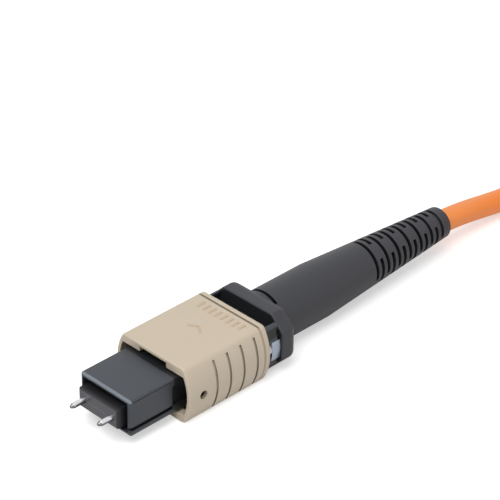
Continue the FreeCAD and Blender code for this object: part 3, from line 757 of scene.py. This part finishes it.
def hank_point(cable, lap, quarter, share):
    """Place in the hank. Each lap has a left run, a far fold, a right run and a near fold."""
    done = lap + (quarter + share) / 4
    radius = cable.fold_radius + (1 + moved(done, MOVES_OUT)) * cable.pitch
    height = FLOOR_HEIGHT + cable.diameter / 2 + HANK_LIFT + moved(done, MOVES_UP) * cable.pitch
    near = Vector((HANK_X, HANK_Y, height))
    run = Vector((cable.hank_run, 0, 0))
    if quarter == 0:
        return near + run * share + Vector((0, radius, 0))
    if quarter == 2:
        return near + run * (1 - share) - Vector((0, radius, 0))
    angle = math.pi * ((0.5 if quarter == 1 else -0.5) - share)
    reach = radius / math.cos(math.pi / 2 / FOLD_POINTS)
    middle = near + run if quarter == 1 else near
    return middle + Vector((reach * math.cos(angle), reach * math.sin(angle), 0))


class PLUG_OT_ferrule(PieceOperator):
    """Polish the ferrule and set the ends of the twelve fibres in its face"""
    bl_idname = "plug.ferrule"
    bl_label = "Ferrule"

    def make(self, sizes, colours, scene):
        # The ferrule's sides are painted near-black as painted shade; only the polished end face
        # keeps the grey.
        sides = [({"X": (0.08, 9)}, (0.012, 0.012, 0.014))]
        grey = moulded("Ferrule plastic", colours.ferrule, rough=0.38, grain=0.03 * MM,
                       depth=0.002 * MM, gap_shade=(0.3 * MM, 0.4), zones=sides)
        refined("mt_ferrule", "ferrule", "floating_ferrule", grey, "ferrule", sizes.fine_edge)
        fibres, pitch, radius = 12, 0.25 * MM, 0.0625 * MM
        profile = [(0.05 * MM, 0), (0.05 * MM, radius), (-0.004 * MM, radius),
                   (-0.010 * MM, 0.045 * MM), (-0.012 * MM, 0)]
        bm = bmesh.new()
        for index in range(fibres):
            lathed(bm, profile, Vector((0, (index - (fibres - 1) / 2) * pitch, 0)), 16)
        piece("fibre_ends", bm, "floating_ferrule", glassy("Fibre glass"), "fibres")


class PLUG_OT_pins(PieceOperator):
    """Grind the two guide pins"""
    bl_idname = "plug.pins"
    bl_label = "Guide pins"

    def make(self, sizes, colours, scene):
        # Painted dark reflection on the pin tips, and painted shade on the undersides.
        tip_reflection = [({"X": (-2.1, -1.62)}, (0.22, 0.21, 0.20))]
        steel = drawn_metal("Pin steel", colours.steel, rough=0.2, stretch=(0.05, 1, 1),
                            underside=0.06, zones=tip_reflection)
        side, chamfer, slope = 2.3 * MM, 0.05 * MM, 0.02 * MM
        groove, groove_start, groove_end = 0.25 * MM, 8.8 * MM, 9.4 * MM
        for name, y in (("guide_pin_left", side), ("guide_pin_right", -side)):
            low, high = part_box(name)
            start, end = low[0], high[0]
            r = (high[2] - low[2]) / 2
            profile = [(start, 0), (start, 0.10 * MM), (start + 0.03 * MM, 0.16 * MM),
                       (start + 0.12 * MM, 0.22 * MM), (start + 0.40 * MM, r - slope),
                       (start + 0.50 * MM, r), (groove_start, r), (groove_start + slope, groove),
                       (groove_end - slope, groove), (groove_end, r), (end - chamfer, r),
                       (end, r - chamfer), (end, 0)]
            bm = bmesh.new()
            lathed(bm, profile, Vector((0, y, 0)), 40)
            piece(name + "_ground", bm, "floating_ferrule", steel, "pin_steel", name)


class PLUG_OT_body(PieceOperator):
    """Soften the black moulded bodies"""
    bl_idname = "plug.body"
    bl_label = "Bodies"

    def make(self, sizes, colours, scene):
        # Painted highlight along the top of the front lip.
        lip_highlight = ({"X": (1.19, 1.48), "Z": (2.1, 3)}, (0.19, 0.215, 0.25))
        # Painted shadow in and below the side grooves, all round the body at that height.
        groove = ({"Z": (-1.82, -1.2)}, (0.008, 0.008, 0.010))
        # Painted shade on the body inside and near the grip sleeve's mouth.
        grip_mouth_shade = ({"X": (7.85, 20)}, (0.009, 0.010, 0.012))
        # Painted shade on the neck's top and bottom between the grip sleeve and the boot's collar.
        neck_top_shade = ({"X": (20, 23.4), "Z": (1.5, 2.6)}, NECK_SHADE)
        neck_bottom_shade = ({"X": (20, 23.4), "Z": (-2.6, -1.5)}, NECK_SHADE)
        black = moulded("Black plastic", colours.black, rough=0.40, depth=0.003 * MM, vary=0.10,
                        gap_shade=(1.0 * MM, 0.15), edge_wear_and_highlight=(0.12 * MM, 3.0),
                        zones=(lip_highlight, groove, grip_mouth_shade, neck_top_shade, neck_bottom_shade))
        refined("inner_housing", "plug_body", "plug", black, "housing_black", sizes.hard_edge)
        refined("spring_push", "rear_body", "plug", black, "housing_black", sizes.hard_edge)
        refined("pin_clamp", "pin_clamp_body", "floating_ferrule", black, "clamp_plastic",
                sizes.fine_edge)
        steel = drawn_metal("Saddle steel", (0.42, 0.47, 0.55), rough=0.4)
        self.saddle("saddle_left", steel, 1)
        self.saddle("saddle_right", steel, -1)

    def saddle(self, name, steel, side):
        """Thin steel plate round the outer half of a grip spring, bowed like the body beside it."""
        start, end, inner, outer = 21.9 * MM, 23.26 * MM, 5.58 * MM, 5.65 * MM
        tilt, bow, softness = 0.18, 0.42, 0.02 * MM
        centre = (0, side * -0.55 * MM, 0)
        corners = ((start, inner), (end, inner), (end, outer), (start, outer))
        bm = bmesh.new()
        section = bm.faces.new([bm.verts.new((x, side * y, 0)) for x, y in corners])
        bmesh.ops.rotate(bm, verts=bm.verts, cent=centre,
                         matrix=Matrix.Rotation(side * tilt, 3, "X"))
        bmesh.ops.spin(bm, geom=[section], cent=centre, axis=X_AXIS, angle=-side * bow, steps=10)
        rounded(bm, [edge for edge in bm.edges if edge.calc_face_angle(0) > SHARP], softness)
        piece(name, bm, "plug", steel, "spring_steel")


class PLUG_OT_grip(PieceOperator):
    """Soften the beige grip sleeve and raise its plain marks"""
    bl_idname = "plug.grip"
    bl_label = "Grip sleeve"

    def make(self, sizes, colours, scene):
        # Painted shade in the rim groove near the grip sleeve's rear.
        rim_groove_shade = [({"X": (20.15, 20.45)}, (0.42, 0.32, 0.22))]
        texture = {"rough": 0.46, "grain": 0.06 * MM, "depth": 0.003 * MM, "vary": 0.03}
        beige = moulded("Beige plastic", colours.beige, **texture, gap_shade=(1.2 * MM, 0.35),
                        edge_wear_and_highlight=(0.12 * MM, 1.12), zones=rim_groove_shade)
        refined("coupler", "grip_sleeve", "sleeve", beige, "coupler_beige", sizes.grip_edge)
        root = 0.04 * MM
        tall = sizes.mark_height + root
        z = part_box("coupler")[1][2] + sizes.mark_height - tall / 2
        bars, bar_x, first_y, spacing = 8, 18.9 * MM, 3.1 * MM, 0.95 * MM
        arrow_x, arrow_y, arrow_turn = 15.2 * MM, 0.52 * MM, math.radians(35)
        bar, arrow_arm = (1.3 * MM, 0.36 * MM, tall), (0.30 * MM, 1.35 * MM, tall)
        bm = bmesh.new()
        for index in range(bars):
            block(bm, (bar_x, first_y - spacing * index, z), bar, sizes.fine_edge)
        for side in (1, -1):
            block(bm, (arrow_x, side * arrow_y, z), arrow_arm, sizes.fine_edge, side * arrow_turn)
        darker = moulded("Beige marks", (0.54, 0.43, 0.31), **texture)
        piece("grip_marks", bm, "sleeve", darker, "coupler_beige")


class PLUG_OT_springs(PieceOperator):
    """Wind the springs of the grip sleeve and of the ferrule"""
    bl_idname = "plug.springs"
    bl_label = "Springs"

    def make(self, sizes, colours, scene):
        steel = drawn_metal("Spring steel", colours.steel, rough=0.26)
        sides = sizes.wire_segments
        grip = {"wire": sizes.grip_wire, "turns": 9.5, "closed": 4.5, "segments": sides}
        ferrule = {"wire": sizes.ferrule_wire, "turns": 4, "closed": 1.25, "segments": sides}
        self.spring("coupler_spring_left", steel, grip, "sleeve_slide", 2.0 * MM)
        self.spring("coupler_spring_right", steel, grip, "sleeve_slide", 2.0 * MM)
        self.spring("ferrule_spring", steel, ferrule, "ferrule_float", 0.6 * MM)

    def spring(self, node, steel, winding, joint, travel):
        """Wound spring in its node's place. The joint and the travel are not used."""
        low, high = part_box(node)
        bm = bmesh.new()
        wound(bm, low[0], high[0], (low[1] + high[1]) / 2, high[2] - low[2], **winding)
        coil = piece(node + "_wound", bm, "plug", steel, "spring_steel", node)
        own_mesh(coil)


class PLUG_OT_boot(PieceOperator):
    """Soften the bend boot with its collar and slots"""
    bl_idname = "plug.boot"
    bl_label = "Bend boot"

    def make(self, sizes, colours, scene):
        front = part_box("boot")[0][0] / MM
        collar_rear = 26.0 * MM
        # Painted shade on the front face of the boot's collar.
        collar_front_shade = [({"X": (front - 0.2, front + 0.02)}, (0.010, 0.011, 0.013))]
        rubber = moulded("Boot rubber", colours.boot, rough=0.47, grain=0.07 * MM, vary=0.08,
                         gap_shade=(0.8 * MM, 0.2), edge_wear_and_highlight=(0.15 * MM, 2.2), zones=collar_front_shade)
        refined("boot", "bend_boot", "plug", rubber, "boot_black", sizes.collar_edge,
                sizes.boot_edge, collar_rear)


class PLUG_OT_inner(PieceOperator):
    """Give the parts inside the plug their surfaces"""
    bl_idname = "plug.inner"
    bl_label = "Inner parts"

    def make(self, sizes, colours, scene):
        looks = {
            "ferrule_boot": moulded("Sleeve rubber", (0.03, 0.03, 0.03), rough=0.7),
            "fibre_ribbon": striped("Ribbon", width=3.0 * MM, rough=0.25),
            "window_adhesive": stranded("Adhesive", (0.35, 0.22, 0.05), size=0.3 * MM),
            "fibre_bundle": striped("Loose fibres", width=1.6 * MM, rough=0.2),
            "aramid_yarn": stranded("Yarn", (0.75, 0.62, 0.15), size=0.04 * MM),
            "crimp_ring": drawn_metal("Plated crimp", (0.68, 0.66, 0.62), rough=0.3),
        }
        for name, look in looks.items():
            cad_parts[name].material_slots[0].material = look


OPERATORS = (PLUG_OT_stage, PLUG_OT_inner, PLUG_OT_cable, PLUG_OT_ferrule, PLUG_OT_pins,
             PLUG_OT_body, PLUG_OT_grip, PLUG_OT_springs, PLUG_OT_boot)


class PLUG_PT_panel(bpy.types.Panel):
    """Lists the settings and the pieces in the 3D view's sidebar"""
    bl_idname = "PLUG_PT_panel"
    bl_label = "Fibre Plug"
    bl_space_type = "VIEW_3D"
    bl_region_type = "UI"
    bl_category = "Fibre Plug"

    def draw(self, context):
        for group in SETTINGS:
            settings = getattr(context.scene, group)
            for name in settings.__annotations__:
                self.layout.prop(settings, name)
        for operator in OPERATORS:
            self.layout.operator(operator.bl_idname)


CLASSES = (*SETTINGS.values(), *OPERATORS, PLUG_PT_panel)


def register():
    for kind in CLASSES:
        bpy.utils.register_class(kind)
    for name, group in SETTINGS.items():
        setattr(bpy.types.Scene, name, PointerProperty(type=group))


def unregister():
    for name in SETTINGS:
        delattr(bpy.types.Scene, name)
    for kind in reversed(CLASSES):
        bpy.utils.unregister_class(kind)


def main():
    register()
    for operator in OPERATORS:
        group, name = operator.bl_idname.split(".")
        getattr(getattr(bpy.ops, group), name)()


if __name__ == "__main__":
    main()
